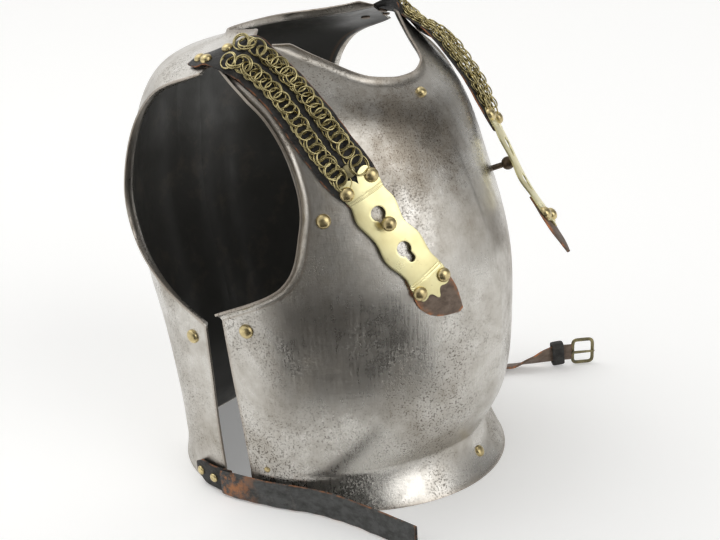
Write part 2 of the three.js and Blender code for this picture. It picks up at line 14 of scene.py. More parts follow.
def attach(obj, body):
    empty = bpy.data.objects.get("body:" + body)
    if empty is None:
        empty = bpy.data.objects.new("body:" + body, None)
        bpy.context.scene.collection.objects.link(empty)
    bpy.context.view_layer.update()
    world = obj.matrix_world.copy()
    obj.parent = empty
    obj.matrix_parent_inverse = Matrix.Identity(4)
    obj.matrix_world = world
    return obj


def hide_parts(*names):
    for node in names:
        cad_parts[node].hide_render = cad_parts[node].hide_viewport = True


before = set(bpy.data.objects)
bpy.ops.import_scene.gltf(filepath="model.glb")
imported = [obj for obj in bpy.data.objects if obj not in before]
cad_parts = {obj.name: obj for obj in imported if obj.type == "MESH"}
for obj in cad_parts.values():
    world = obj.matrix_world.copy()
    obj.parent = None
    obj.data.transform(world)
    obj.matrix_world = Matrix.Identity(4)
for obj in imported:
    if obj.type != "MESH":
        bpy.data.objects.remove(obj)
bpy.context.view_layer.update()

CENTRE = np.array([-49.0, 30.0, 0.0])
RNG = np.random.default_rng(1815)

# ---- Measures of the plates, level by level from the waist line to the shoulder ----

LEVELS = [0, 60, 130, 200, 270, 330, 380]
BREAST = dict(
    facing=-1,
    half_width=[148, 154, 162, 169, 161, 152, 137],
    side_forward=[9, 8, 6.5, 6, 0, -12, -31],
    side_height=[31, 75, 138, 211, 288, 353, 400],
    middle_forward=[156, 179, 189, 186, 162, 125, 67],
    middle_height=[35, 78, 139, 207, 276, 341, 384],
    crest=[0.17, 0.24, 0.38, 0.44, 0.39, 0.16, 0.04],
    rim=dict(half_width=146, side=8.6, middle=174, crest=0),
    edge_angle=87,
    armhole=[[87, 174], [64, 204], [55.5, 252], [54, 290], [59, 338], [71, 376]],
    neck=[[0, 350], [7, 350.4], [19, 356.5], [30, 374], [44, 395]],
    arm_lip=(6, 80),
    neck_lip=(9, 62),
)
BACK = dict(
    facing=1,
    half_width=[151, 156, 161, 170, 180, 160, 144],
    side_forward=[9, 8, 6, 2, 9, 0, -1],
    side_height=[28, 74, 138, 203, 288, 348, 385],
    middle_forward=[132, 133, 146, 162, 160, 131, 10],
    middle_height=[28, 74, 140, 205, 282, 377, 407],
    crest=[0.07, 0.08, 0.09, 0.09, 0.08, 0.04, 0],
    rim=dict(half_width=148, side=10, middle=140, crest=0.04),
    edge_angle=89,
    armhole=[[89, 168], [61, 212], [53.5, 245], [53.5, 289], [61, 342], [69, 370]],
    neck=[[0, 354], [20, 356.5], [30, 373], [39, 386]],
    arm_lip=(9, 75),
    neck_lip=(12, 62),
)
PLATE_WALL = 2.2
SPINE_SPREAD = 0.22
FLARE_POWER = 1.5
LEVEL_TO_DEGREE = 1.6
NECK_SHARE = 0.8
LIP_LEAST, LIP_RISE = 0.12, 7
FLANGE_WEAR, SIDE_WEAR, LEAST_BARE_WEAR = 0.14, 0.015, 0.08

STRAP_WALL, STRAP_LIFT, HUG = 2.4, 1.0, 150
LINKS, ROWS_APART, CHAIN_START = 24, 20, 46
RING_RADIUS, WIRE_RADIUS, TWIN_APART, RING_TILT = 7.0, 0.72, 2.2, 19
RING_STEPS, WIRE_STEPS, BAND_STEPS = 32, 8, 40
REAR_RIVETS = dict(middle=(11, 1), outer=(27, 11), inner=(38, -6))
UPPER_RIVETS, END_RIVETS_ACROSS = 198, 13
# Heads on the straps and the belt, each a radius and a height.
END_HEAD, REAR_HEAD, REAR_TAIL, LOBE_DISC, BELT_HEAD = (6.2, 5), (5, 4), (4.4, 1.5), (5.6, 1.1), (4.4, 3)
PLATE_LENGTH, PLATE_HALF, END_PLATE_WALL = 104, 17.5, 1.5
KEYHOLES = (28.5, 65)
KEYHOLE_RADIUS, KEYHOLE_MIDDLE, SLOT_HALF, SLOT_REACH = 6.4, 4.5, 3.4, 10
LEATHER_BEYOND, LAYER_GAP = 15, 0.35
STACK = STRAP_LIFT + STRAP_WALL + LAYER_GAP
BELT_WIDTH, FREE_BELT_WIDTH, BELT_WALL, BELT_LIFT = 25, 18, 3, 1.2
BAND_RIPPLE = 0.25


# ---- Plain mathematics on whole arrays ----

def smooth_through(knots, values, x):
    """Cubic Hermite pieces through (knot, value) pairs. The slope at a knot is the chord's from
    its neighbour below to its neighbour above."""
    knots, values, x = (np.asarray(a, float) for a in (knots, values, x))
    last = len(knots) - 1
    below = np.maximum(np.arange(last + 1) - 1, 0)
    above = np.minimum(np.arange(last + 1) + 1, last)
    slope = (values[above] - values[below]) / (knots[above] - knots[below])
    i = np.clip(np.searchsorted(knots, x, side="left") - 1, 0, last - 1)
    width = knots[i + 1] - knots[i]
    t = (x - knots[i]) / width
    return ((1 + 2 * t) * (1 - t) ** 2 * values[i] + t * (1 - t) ** 2 * width * slope[i]
            + t * t * (3 - 2 * t) * values[i + 1] + t * t * (t - 1) * width * slope[i + 1])


def unit(vectors):
    """The same directions at length 1."""
    return vectors / np.linalg.norm(vectors, axis=-1, keepdims=True)


def running_length(points, scale=1.0):
    """Length along a list of points, counted from its first."""
    steps = np.linalg.norm(np.diff(points, axis=0) * scale, axis=1)
    return np.concatenate([[0.0], np.cumsum(steps)])


def lerp(a, b, t):
    """The value a share t of the way from a to b."""
    return a + (b - a) * t


def toward(azimuth, elevation):
    """Directions from angles in radians; azimuth runs from the chest's way to the wearer's left."""
    flat = np.cos(elevation)
    return np.stack([np.sin(azimuth) * flat, -np.cos(azimuth) * flat, np.sin(elevation)], -1)


def full_turn(steps):
    """Angles once round a circle."""
    return np.linspace(0, 2 * np.pi, steps, endpoint=False)


def signed_power(value, power):
    """A power of a value's size with the value's sign, which squares off a sine or a cosine."""
    return np.sign(value) * np.abs(value) ** power


# ---- Meshes ----

def new_object(name, data):
    """An object in the scene that shows a mesh, a camera or a light."""
    made = bpy.data.objects.new(name, data)
    bpy.context.scene.collection.objects.link(made)
    return made


def grid_quads(rows, columns, first=0, wrap=False, flip=False, closed=False):
    """The quads of a grid of points numbered row by row; wrap joins the last column to the first,
    and closed the last row to the first."""
    i, j = np.meshgrid(np.arange(rows if closed else rows - 1),
                       np.arange(columns if wrap else columns - 1), indexing="ij")
    below, after = (i + 1) % rows, (j + 1) % columns
    quads = np.stack([i * columns + j, below * columns + j,
                      below * columns + after, i * columns + after], -1).reshape(-1, 4)
    return first + (quads[:, ::-1] if flip else quads)


def rod_faces(rows, columns):
    """The faces of a solid rod: a grid joined round it, and a cap on each end."""
    count = rows * columns
    return (grid_quads(rows, columns, wrap=True, flip=True).tolist()
            + [list(range(columns)), list(range(count - 1, count - columns - 1, -1))])


def build(name, points, faces, materials, replaces, wear=None):
    """A smooth-shaded piece from points in millimetres and a list of faces. wear, a number per
    point, is kept on the mesh for the finishes to read."""
    mesh = bpy.data.meshes.new(name)
    mesh.from_pydata(((points.reshape(-1, 3) + CENTRE) / 1000).tolist(), [], faces)
    if wear is not None:
        mesh.attributes.new("wear", "FLOAT", "POINT").data.foreach_set("value", wear.astype(np.float32))
    mesh.polygons.foreach_set("use_smooth", [True] * len(mesh.polygons))
    piece = new_object(name, mesh)
    for material in materials:
        mesh.materials.append(material)
    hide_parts(*replaces)
    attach(piece, "root")
    return piece


def face_outwards(piece, join=None, outward=None):
    """Turns a piece's faces outwards, after points nearer than join, in metres, are made one. An
    open sheet's outside is the one that looks the way of outward."""
    work = bmesh.new()
    work.from_mesh(piece.data)
    if join:
        bmesh.ops.remove_doubles(work, verts=work.verts, dist=join)
        bmesh.ops.dissolve_degenerate(work, edges=work.edges, dist=1e-7)
    bmesh.ops.recalc_face_normals(work, faces=work.faces)
    if outward is not None and sum(face.normal.dot(outward) for face in work.faces) < 0:
        bmesh.ops.reverse_faces(work, faces=work.faces)
    work.to_mesh(piece.data)
    work.free()


def ease_edges(piece, width):
    """Rounds a piece's sharp edges off by a width in millimetres."""
    ease = piece.modifiers.new("ease", "BEVEL")
    ease.width = width / 1000
    ease.segments = 2
    ease.limit_method = "ANGLE"
    ease.angle_limit = np.radians(50)


def thicken(piece, wall):
    """Gives a sheet its wall, inwards from its outer face."""
    solid = piece.modifiers.new("wall", "SOLIDIFY")
    solid.thickness = wall / 1000
    solid.offset = -1


# ---- The plates' surfaces ----

def reach(facing, turn, crest):
    """How far forward a section reaches at a turn from its middle, 1 there and 0 at the side. The
    breast is the root of (1 - s)(1 + (1 - crest) s) with s the turn's sine, which leaves a ridge
    at the middle; the back is the turn's cosine less a groove, crest exp(-(s / spread)^2)."""
    s = np.abs(np.sin(turn))
    if facing < 0:
        return np.sqrt(np.maximum((1 - s) * (1 + (1 - crest) * s), 0))
    return np.cos(turn) - crest * np.exp(-(s / SPINE_SPREAD) ** 2)


def plate_point(plate, angle, level):
    """A point on a plate's outer face, from its angle off the median plane in degrees and its
    level. The place across is the half width times the angle's sine; how far forward and how high
    it stands run from the side's measure to the middle's by reach. Levels from -1 to 0 are the
    waist flange, which leaves that surface as (-level)^1.5 towards the rim's own section."""
    angle, level = np.broadcast_arrays(np.asarray(angle, float), np.asarray(level, float))
    at = lambda key: smooth_through(LEVELS, plate[key], np.maximum(level, 0))
    turn = np.radians(angle)
    share = reach(plate["facing"], turn, at("crest"))
    x = at("half_width") * np.sin(turn)
    y = plate["facing"] * lerp(at("side_forward"), at("middle_forward"), share)
    z = lerp(at("side_height"), at("middle_height"), share)
    rim = plate["rim"]
    spread = np.maximum(-level, 0) ** FLARE_POWER
    rim_share = reach(plate["facing"], turn, rim["crest"])
    x = lerp(x, rim["half_width"] * np.sin(turn), spread)
    y = lerp(y, plate["facing"] * lerp(rim["side"], rim["middle"], rim_share), spread)
    return np.stack([x, y, z * (1 + np.minimum(level, 0))], -1)


def plate_normal(plate, angle, level):
    """The outward normal: the cross product of the surface's steps round and up."""
    angle, level = np.asarray(angle, float), np.asarray(level, float)
    step = np.where(level < 0, 0.01, 0.5)
    around = plate_point(plate, angle + 0.1, level) - plate_point(plate, angle - 0.1, level)
    up = plate_point(plate, angle, level + step) - plate_point(plate, angle, level - step)
    return unit(np.cross(around, up)) * -plate["facing"]


def along_outline(outline, share):
    """(angle, level) at shares of an outline's length; shares below 0 are on the other side."""
    outline = np.asarray(outline, float)
    knots = running_length(outline, np.array([1, LEVEL_TO_DEGREE]))
    x = np.abs(share) * knots[-1]
    angle, level = (smooth_through(knots, outline[:, k], x) for k in (0, 1))
    return np.where(share < 0, -angle, angle), level


def lip(plate, outline, share, measures, side, steps):
    """The turned lip beyond an outline: an arc of the lip's radius that leaves the plate in its own
    plane and curls away from the wearer. It fades towards the shoulder, where the radius falls as
    LIP_LEAST + LIP_RISE (1 - share). side is 1 for the neck's lip and -1 for the armhole's."""
    radius, turn = measures
    low = share - 0.01 if side > 0 else np.maximum(share - 0.01, 0)
    behind = plate_point(plate, *along_outline(outline, low))
    ahead = plate_point(plate, *along_outline(outline, np.minimum(share + 0.01, 1)))
    edge = along_outline(outline, share)
    point, normal = plate_point(plate, *edge), plate_normal(plate, *edge)
    outward = np.cross(unit(ahead - behind), normal) * (side * plate["facing"])
    bend = np.radians(turn) * np.linspace(0, 1, steps + 1)[None, :, None]
    radius = radius * np.minimum(1, LIP_LEAST + LIP_RISE * (1 - share))[:, None, None]
    return (point[:, None] + outward[:, None] * radius * np.sin(bend)
            + normal[:, None] * radius * (1 - np.cos(bend)))


def plate_piece(name, plate, node, flange=18, side=56, arm=64, throat=34, columns=64,
                lip_steps=9):
    """One plate: rows ruled from the middle line and the neck to the side edge and the armhole,
    with both lips, mirrored over the median plane and given its wall. wear is 1 along every free
    edge and falls to 0 a little way into the plate. The inner face is painted except where it is
    worn, which leaves the lips bare."""
    pit, neck_low = plate["armhole"][0][1], plate["neck"][0][1]
    shoulder = along_outline(plate["armhole"], NECK_SHARE)[1]
    low_levels = np.concatenate([np.linspace(-1, 0, flange, endpoint=False),
                                 np.linspace(0, pit, side, endpoint=False)])
    arm_share = np.linspace(0, NECK_SHARE, arm, endpoint=False)
    arm_angle, arm_level = along_outline(plate["armhole"], arm_share)
    neck_share = np.linspace(0, 1, throat + 1)
    top_share = lerp(NECK_SHARE, 1, neck_share)
    neck_angle, neck_level = along_outline(plate["neck"], neck_share)
    top_angle, top_level = along_outline(plate["armhole"], top_share)
    rise = (arm_level - pit) / (shoulder - pit)
    pairs = lambda angle, level: np.stack(np.broadcast_arrays(angle, level), -1)
    left = np.concatenate([pairs(0.0, low_levels), pairs(0.0, lerp(pit, neck_low, rise)),
                           pairs(neck_angle, neck_level)])
    right = np.concatenate([pairs(plate["edge_angle"], low_levels), pairs(arm_angle, arm_level),
                            pairs(top_angle, top_level)])
    t = np.linspace(0, 1, columns + 1)[None, :]
    angle = lerp(left[:, :1], right[:, :1], t)
    level = lerp(left[:, 1:], right[:, 1:], t)
    body = plate_point(plate, angle, level)
    arm_lip = lip(plate, plate["armhole"], np.concatenate([arm_share, top_share]),
                  plate["arm_lip"], -1, lip_steps)
    neck_lip = lip(plate, plate["neck"], neck_share, plate["neck_lip"], 1, lip_steps)
    flip = plate["facing"] < 0
    points, wear, faces, first = [], [], [], 0
    body_wear = np.maximum(np.clip(1 - (level + 1) / FLANGE_WEAR, 0, 1),
                           np.clip(1 - (1 - t) / SIDE_WEAR, 0, 1))
    lip_wear = np.linspace(0, 1, lip_steps + 1) ** 2
    for sheet, amount, reverse in ((body, body_wear, flip), (arm_lip, lip_wear, flip),
                                   (neck_lip, lip_wear, not flip)):
        size = sheet.shape[:2]
        for mirror in (1, -1):
            points.append((sheet * [mirror, 1, 1]).reshape(-1, 3))
            wear.append(np.broadcast_to(amount, size).reshape(-1))
            faces.append(grid_quads(*size, first, flip=reverse != (mirror < 0)))
            first += size[0] * size[1]
    points, faces, wear, inner = walled(np.concatenate(points), np.concatenate(faces),
                                        np.concatenate(wear), PLATE_WALL)
    piece = build(name, points, faces.tolist(), [steel, paint], [node], wear)
    painted = inner & (wear[faces].min(axis=1) < LEAST_BARE_WEAR)
    piece.data.polygons.foreach_set("material_index", painted.astype(np.int32))
    ease_edges(piece, 0.35)


def walled(points, quads, wear, wall):
    """Gives an open sheet of quads its wall. Points that coincide are joined; the inner face is the
    outer one moved back along its points' normals by the wall, and no lower than the floor; a rim
    of quads joins the two along every free edge. Returns points, quads, wear and which quads are
    on the inner face."""
    _, kept, joined = np.unique(np.round(points, 3), axis=0, return_index=True, return_inverse=True)
    points, wear, quads = points[kept], wear[kept], joined.reshape(-1)[quads]
    corner = points[quads]
    facing = np.cross(corner[:, 2] - corner[:, 0], corner[:, 3] - corner[:, 1])
    normal = np.zeros_like(points)
    np.add.at(normal, quads, facing[:, None])
    behind = points - unit(normal) * wall
    behind[:, 2] = np.maximum(behind[:, 2], 0)
    start, end = quads.reshape(-1), np.roll(quads, -1, 1).reshape(-1)
    free = ~np.isin(start * len(points) + end, end * len(points) + start)
    start, end, count = start[free], end[free], len(points)
    rim = np.stack([end, start, start + count, end + count], -1)
    inner = np.repeat([False, True, False], [len(quads), len(quads), len(rim)])
    return (np.concatenate([points, behind]), np.concatenate([quads, quads[:, ::-1] + count, rim]),
            np.concatenate([wear, wear]), inner)


# ---- Routes and what is carried along them ----

class Route:
    """A strap's course: its middle line and the way its outer face looks, both smooth curves
    through stops. place() goes a distance along it, a step across it and a height over it, with
    the cross-section dropping by across^2 / (2 hug) round what it lies on."""

    def __init__(self, stops):
        self.points = np.array([stop[0] for stop in stops], float)
        self.faces = np.array([stop[1] for stop in stops], float)
        self.knots = running_length(self.points)
        self.length = self.knots[-1]

    def pick(self, lists, distance):
        return np.stack([smooth_through(self.knots, lists[:, k], distance) for k in range(3)], -1)

    def frame(self, distance):
        distance = np.asarray(distance, float)
        along = unit(self.pick(self.points, distance + 0.5) - self.pick(self.points, distance - 0.5))
        across = unit(np.cross(self.pick(self.faces, distance), along))
        return self.pick(self.points, distance), along, across, np.cross(along, across)

    def place(self, distance, across, height, hug=np.inf):
        distance, across, height = np.broadcast_arrays(
            *(np.asarray(a, float) for a in (distance, across, height)))
        point, _, side, face = self.frame(distance)
        drop = across ** 2 / (2 * hug)
        return point + side * across[..., None] + face * (height - drop)[..., None]


def on(plate, angle, level, over=0.0):
    """A stop of a route that lies on a plate, or a little over it."""
    face = plate_normal(plate, angle, level)
    return plate_point(plate, angle, level) + face * over, face


def stop(at, face):
    """A stop of a route in free air, and the way the strap's outer face looks there."""
    return np.array(at, float), unit(np.array(face, float))


def shoulder_stops(side):
    """The stops that a shoulder strap makes from the back over the gap to the breast."""
    return ([on(BACK, side * angle, level, over) for angle, level, over in (
                (51.2, 361, 0), (53.5, 369, 0), (55, 376.5, 0.8))]
            + [on(BREAST, side * angle, level, over) for angle, level, over in (
                (57.5, 384.5, 2.5), (54, 377.5, 0.2))])


right_route = Route(shoulder_stops(-1) + [
    on(BREAST, -angle, level) for angle, level in (
        (50, 360), (48, 341), (45.5, 321), (42, 303), (38, 286), (34.8, 265), (32.5, 250), (29.5, 234),
        (25, 211), (21.4, 187), (15.6, 164))])
left_route = Route(shoulder_stops(1) + [
    stop([107.3, -58.7, 376.2], [0.42, -0.58, 0.7]),
    stop([107.3, -80.4, 355.4], [0.42, -0.64, 0.64]),
    stop([105.4, -99.3, 335.6], [0.41, -0.68, 0.61]),
    stop([101.4, -116.2, 314.6], [0.4, -0.7, 0.59]),
    stop([95.4, -139, 283.8], [0.4, -0.74, 0.54]),
    stop([92.2, -159, 253.3], [0.4, -0.72, 0.57]),
    stop([89, -181.7, 229.1], [0.41, -0.69, 0.6]),
    stop([84, -214.7, 193.1], [0.42, -0.7, 0.58])])


def corner_stops(side):
    """The stops that a belt makes round the back's lower corner, half way up the flange."""
    return [on(BACK, side * angle, -0.5) for angle in (70, 75, 80, 85)]


right_belt = Route(corner_stops(-1) + [
    stop([-149.5, 2, 14], [-1, -0.02, 0]),
    stop([-143.5, -38, 13.5], [-0.99, -0.12, 0]),
    stop([-134, -76, 13.5], [-0.98, -0.18, 0]),
    stop([-131, -106, 13.5], [-1, -0.08, 0]),
    stop([-133, -148, 13.5], [-1, 0.04, 0]),
    stop([-137, -190, 13.5], [-0.99, 0.1, 0])])
left_belt = Route(corner_stops(1) + [
    stop([150, 2, 13], [1, -0.1, 0.05]),
    stop([158, -28, 11], [0.9, 0.35, 0.25]),
    stop([181, -56, 6], [0.5, 0.45, 0.74]),
    stop([206, -84, 2], [0.16, 0.16, 0.97]),
    stop([222, -104, 8], [0.5, 0.5, 0.7]),
    stop([237, -121, 14.6], [0.7, 0.7, 0.1]),
    stop([251, -136, 15.4], [0.71, 0.71, 0]),
    stop([268, -154, 15.4], [0.71, 0.71, 0])])


def outline_width(outline, distance):
    """The half width of an outline of (distance, half width) pairs, held beyond its ends."""
    knots, halves = np.array(outline, float).T
    return smooth_through(knots, halves, np.clip(distance, knots[0], knots[-1]))


def strap_band(name, route, start, end, half_width, lift, wall, material, node, hug=np.inf,
               steps=None, bow=None, fray=3):
    """A leather band: a flat cross-section with rounded edges, |x|^8 + |z|^2.4 = 1 scaled to the
    half width and half wall, carried along a stretch of a route. Its ends close in over the last
    wall's length as a quarter ellipse. wear is the edge's nearness, |x|^6. bow moves the middle of
    the band sideways, by an amount that depends on the distance; fray is how far the wear of its
    first end reaches along it."""
    steps = steps or int((end - start) / 1.6)
    turn = full_turn(BAND_STEPS)
    x, z = signed_power(np.cos(turn), 2 / 8), signed_power(np.sin(turn), 2 / 2.4)
    closing = wall * (1 - np.sqrt(1 - np.linspace(0.98, 0, 5)[:-1] ** 2))
    distance = np.concatenate([start + closing, np.linspace(start + wall, end - wall, steps + 1),
                               end - closing[::-1]])
    ease = 1 - np.linspace(1, 0, 5)[:-1] ** 2
    narrowing = 0.5 * (np.sqrt(ease) + ease)
    squeeze = np.concatenate([narrowing, np.ones(steps + 1), narrowing[::-1]])
    half = half_width(distance) - (1 - squeeze) * wall * 0.5
    wave = BAND_RIPPLE * (np.sin(distance / 7.3 + len(name)) + np.sin(distance / 3.1 + 2))
    across = (half + 0.5 * wave)[:, None] * x[None, :]
    if bow:
        across = across + bow(distance)[:, None]
    height = lift + wall / 2 + (wall / 2 * np.maximum(squeeze, 0.12))[:, None] * z[None, :]
    height = height + wave[:, None] * 0.4 * np.abs(x)[None, :] ** 3
    points = route.place(distance[:, None], across, height, hug)
    points[..., 2] = np.maximum(points[..., 2], 0.05)
    wear = np.broadcast_to(np.abs(x) ** 6 * (0.35 + 0.65 * (z > -0.7)), across.shape)
    ends = np.maximum(np.clip(1.25 - (distance - start) / fray, 0, 1),
                      np.clip(1 - (end - distance) / 3, 0, 1))
    wear = np.maximum(wear, ends[:, None])
    faces = rod_faces(len(distance), BAND_STEPS)
    build(name, points, faces, [material], [node], wear.reshape(-1))


def turned(name, profile, place, face, material, node, segments=40):
    """A turned piece: a profile of (radius, height) pairs carried round an axis that stands on a
    place and points the way it faces. Its first and last points lie on the axis, and its edges
    sharper than 50 degrees stay crisp."""
    radius, height = np.array(profile, float).T
    helper = np.array([0, 0, 1.0]) if abs(face[2]) < 0.9 else np.array([1.0, 0, 0])
    u = unit(np.cross(helper, face))
    v = np.cross(face, u)
    turn = full_turn(segments)
    spoke = np.cos(turn)[:, None] * u + np.sin(turn)[:, None] * v
    middle = radius[1:-1, None, None] * spoke[None] + height[1:-1, None, None] * face
    points = np.concatenate([[height[0] * face], middle.reshape(-1, 3), [height[-1] * face]]) + place
    rows = len(profile) - 2
    last = len(points) - 1
    ring = np.arange(segments)
    after = (ring + 1) % segments
    faces = grid_quads(rows, segments, 1, wrap=True, flip=True).tolist()
    faces += np.stack([np.zeros_like(ring), 1 + after, 1 + ring], -1).tolist()
    top = 1 + (rows - 1) * segments
    faces += np.stack([np.full_like(ring, last), top + ring, top + after], -1).tolist()
    piece = build(name, points, faces, [material], [node])
    piece.data.set_sharp_from_angle(angle=np.radians(50))


def dome(radius, height, skirt=0.5):
    """A rivet head's profile: a short upright skirt, then a quarter ellipse up to the top."""
    turn = np.linspace(0, np.pi / 2, 12)
    arc = np.stack([radius * np.cos(turn), skirt + (height - skirt) * np.sin(turn)], -1)
    return [(0, -0.6), (radius, -0.6)] + arc.tolist()


# ---- Finishes ----

def add_node(tree, kind, inputs=(), **settings):
    """Adds a node. An input that is given as another node's socket is linked, any other is set."""
    made = tree.nodes.new(kind)
    for key, value in settings.items():
        setattr(made, key, value)
    for key, value in dict(inputs).items():
        if isinstance(value, bpy.types.NodeSocket):
            tree.links.new(value, made.inputs[key])
        else:
            made.inputs[key].default_value = value
    return made


class Finish:
    """A metal, leather or paint, put together from noise patterns on Object coordinates."""

    def __init__(self, name, **settings):
        self.material = bpy.data.materials.new(name)
        self.material.use_nodes = True
        self.tree = self.material.node_tree
        self.shader = self.tree.nodes["Principled BSDF"]
        self.place = self.node("ShaderNodeTexCoord").outputs["Object"]
        for socket, value in settings.items():
            self.shader.inputs[socket.replace("_", " ")].default_value = value

    def node(self, kind, inputs=(), **settings):
        return add_node(self.tree, kind, inputs, **settings)

    def noise(self, scale, detail, roughness, stretch=None, distortion=0.0):
        vector = self.place
        if stretch:
            vector = self.node("ShaderNodeMapping", {"Vector": vector, "Scale": stretch}).outputs[0]
        return self.node("ShaderNodeTexNoise", {
            "Vector": vector, "Scale": scale, "Detail": detail, "Roughness": roughness,
            "Distortion": distortion}).outputs["Fac"]

    def band(self, value, low, high, to_low=0.0, to_high=1.0):
        """to_low up to low, to_high from high on, and an even slope between them."""
        return self.node("ShaderNodeMapRange", {
            "Value": value, "From Min": low, "From Max": high, "To Min": to_low,
            "To Max": to_high}).outputs["Result"]

    def math(self, how, a, b=0.0):
        return self.node("ShaderNodeMath", {0: a, 1: b}, operation=how).outputs[0]

    def add(self, a, b):
        return self.math("ADD", a, b)

    def times(self, a, b):
        return self.math("MULTIPLY", a, b)

    def mix(self, share, a, b):
        """Colour a at share 0 and colour b at share 1. Inputs 6 and 7 and output 2 of a Mix node are
        its colours."""
        a, b = (end if isinstance(end, bpy.types.NodeSocket) else (*end, 1) for end in (a, b))
        return self.node("ShaderNodeMix", {0: share, 6: a, 7: b}, data_type="RGBA").outputs[2]

    def wear(self):
        return self.node("ShaderNodeAttribute", attribute_name="wear").outputs["Fac"]

    def near(self, place, inside, outside):
        """1 within a distance of a place and 0 beyond another, in millimetres in the plates' frame."""
        middle = tuple((np.array(place) + CENTRE) / 1000)
        gap = self.node("ShaderNodeVectorMath", {0: self.place, 1: middle},
                        operation="DISTANCE").outputs["Value"]
        return self.band(gap, outside / 1000, inside / 1000)

    def relief(self, height, depth, before=None):
        """The normal bent by a height pattern that stands depth metres high, over an earlier one."""
        inputs = {"Height": height, "Distance": depth, "Strength": 1.0}
        if before:
            inputs["Normal"] = before
        return self.node("ShaderNodeBump", inputs).outputs["Normal"]

    def finish(self, color, roughness, normal=None):
        self.tree.links.new(color, self.shader.inputs["Base Color"])
        self.tree.links.new(roughness, self.shader.inputs["Roughness"])
        if normal:
            self.tree.links.new(normal, self.shader.inputs["Normal"])
        return self.material


def aged_steel():
    """Old polished steel: grey-brown clouds of patina, upright brush strokes, tarnish in two places,
    and dark pits that are fewer round one place on the front of the chest, where it stands proudest."""
    f = Finish("aged_steel", Metallic=1.0)
    clouds = f.noise(9, 6, 0.62, distortion=0.6)
    mottle = f.noise(55, 6, 0.72)
    strokes = f.noise(60, 4, 0.7, stretch=(9, 9, 0.55))
    cross_strokes = f.noise(120, 3, 0.6, stretch=(1.2, 1.2, 7))
    patina = f.band(f.add(clouds, f.times(mottle, 0.5)), 0.66, 0.98)
    color = f.mix(patina, (0.6, 0.58, 0.54), (0.34, 0.305, 0.255))
    color = f.mix(f.band(strokes, 0.3, 0.75, 0.0, 0.3), color, (0.7, 0.68, 0.64))
    low_tarnish = f.times(f.near((50, -180, 180), 5, 80), 0.6)
    tarnish = f.math("MAXIMUM", f.near((-40, -118, 322), 20, 84), low_tarnish)
    stain = f.band(f.add(f.noise(42, 7, 0.75), f.times(tarnish, 0.42)), 0.58, 0.92)
    color = f.mix(f.times(stain, 0.8), color, (0.25, 0.215, 0.17))
    specks = f.times(f.band(f.noise(760, 4, 0.6), 0.53, 0.63), f.band(stain, 0.0, 0.7))
    color = f.mix(f.times(specks, 0.75), color, (0.1, 0.07, 0.05))
    pits = f.band(f.noise(560, 3, 0.6), 0.55, 0.62)
    spread = f.band(f.noise(14, 3, 0.5), 0.42, 0.62)
    # The pits are cut to 0.12 of their strength within 30 mm of a place on the chest's front, and are
    # whole beyond 95 mm.
    rubbed = f.band(f.near((-20, -176, 235), 30, 95), 0, 1, 1.0, 0.12)
    pitted = f.times(f.times(pits, spread), rubbed)
    color = f.mix(f.times(pitted, 0.7), color, (0.1, 0.08, 0.06))
    color = f.mix(f.times(f.wear(), 0.5), color, (0.26, 0.2, 0.145))
    rough = f.add(f.band(patina, 0, 1, 0.24, 0.44), f.band(strokes, 0.3, 0.7, -0.04, 0.07))
    rough = f.add(rough, f.times(pitted, 0.25))
    normal = f.relief(f.noise(13, 2, 0.5), 0.0016)
    normal = f.relief(f.add(strokes, cross_strokes), 0.00009, normal)
    normal = f.relief(f.add(mottle, f.times(pitted, -1.0)), 0.00014, normal)
    return f.finish(color, rough, normal)


def black_paint():
    """The plates' inside: thick black paint with a soft shine, rubbed brown in clouds and along
    the edges, over the fold that the ridge and the spine groove leave down the middle."""
    f = Finish("black_paint")
    rub = f.band(f.noise(30, 6, 0.7), 0.52, 0.75)
    color = f.mix(rub, (0.052, 0.051, 0.046), (0.11, 0.094, 0.074))
    color = f.mix(f.times(f.wear(), 0.7), color, (0.16, 0.1, 0.06))
    rough = f.band(f.noise(45, 5, 0.6), 0.3, 0.7, 0.28, 0.5)
    across = f.add(f.node("ShaderNodeSeparateXYZ", {0: f.place}).outputs["X"], -CENTRE[0] / 1000)
    normal = f.relief(f.band(f.math("ABSOLUTE", across), 0.0, 0.03), 0.0016)
    return f.finish(color, rough, f.relief(f.noise(70, 5, 0.6), 0.0003, normal))


def pale_brass():
    """Rubbed brass: pale yellow, faintly cloudy, with fine scratches."""
    f = Finish("pale_brass", Metallic=1.0)
    clouds = f.noise(45, 4, 0.55)
    color = f.mix(f.band(clouds, 0.35, 0.75), (0.88, 0.82, 0.48), (0.76, 0.68, 0.36))
    spots = f.band(f.noise(260, 3, 0.5), 0.68, 0.76)
    color = f.mix(f.times(spots, 0.4), color, (0.4, 0.3, 0.13))
    rough = f.band(clouds, 0.3, 0.8, 0.26, 0.4)
    normal = f.relief(f.noise(40, 2, 0.5), 0.0002)
    return f.finish(color, rough, f.relief(f.noise(500, 3, 0.6), 0.00002, normal))


def toned_metal(name, bright, dim, scale, rough, depth):
    """Brass or iron that time has toned: a first colour and a second in small clouds, rough from
    the first number in rough to the second."""
    f = Finish(name, Metallic=1.0)
    clouds = f.noise(scale, 4, 0.6)
    color = f.mix(f.band(clouds, 0.35, 0.72), bright, dim)
    return f.finish(color, f.band(clouds, 0.3, 0.8, *rough), f.relief(clouds, depth))


